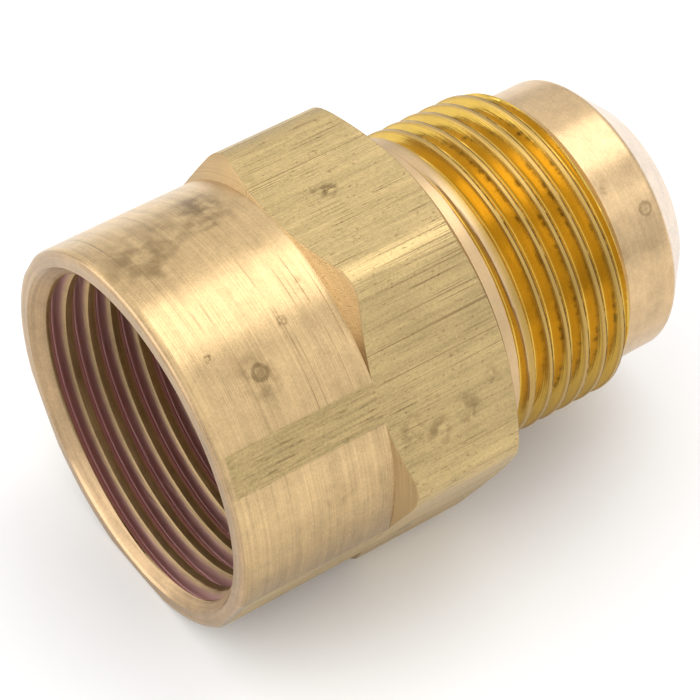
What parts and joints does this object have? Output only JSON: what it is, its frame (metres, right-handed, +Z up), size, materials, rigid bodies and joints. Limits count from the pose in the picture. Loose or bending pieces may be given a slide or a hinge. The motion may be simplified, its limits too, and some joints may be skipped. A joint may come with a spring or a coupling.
{
  "type": "flare fitting",
  "caption": "Brass adapter turned from hexagonal bar: threaded 45 degree male flare at one end, female taper pipe socket at the other, through-bored.",
  "frame": {"origin": "middle of the bounding box's footprint, on the flat that the fitting lies on", "axes": "+X along the turned axis from the pipe socket's mouth to the flare's tip; +Z up, square to the hexagon flat that it rests on; Y level, across two hexagon corners"},
  "size_m": [0.0424, 0.0314, 0.0281],
  "materials": {
    "turned_barrel": "satin, fine turning lines round the axis",
    "drawn_hex": "dull drawn bar stock with scratches along the axis",
    "cut_thread": "bright cut flanks, satin crests",
    "smooth_nose": "smooth satin"
  },
  "bodies": {
    "root": {"pipe_socket": "turned_barrel", "wrench_hex": "drawn_hex", "threaded_shank": "cut_thread", "flare_nose": "smooth_nose"}
  },
  "joints": []
}
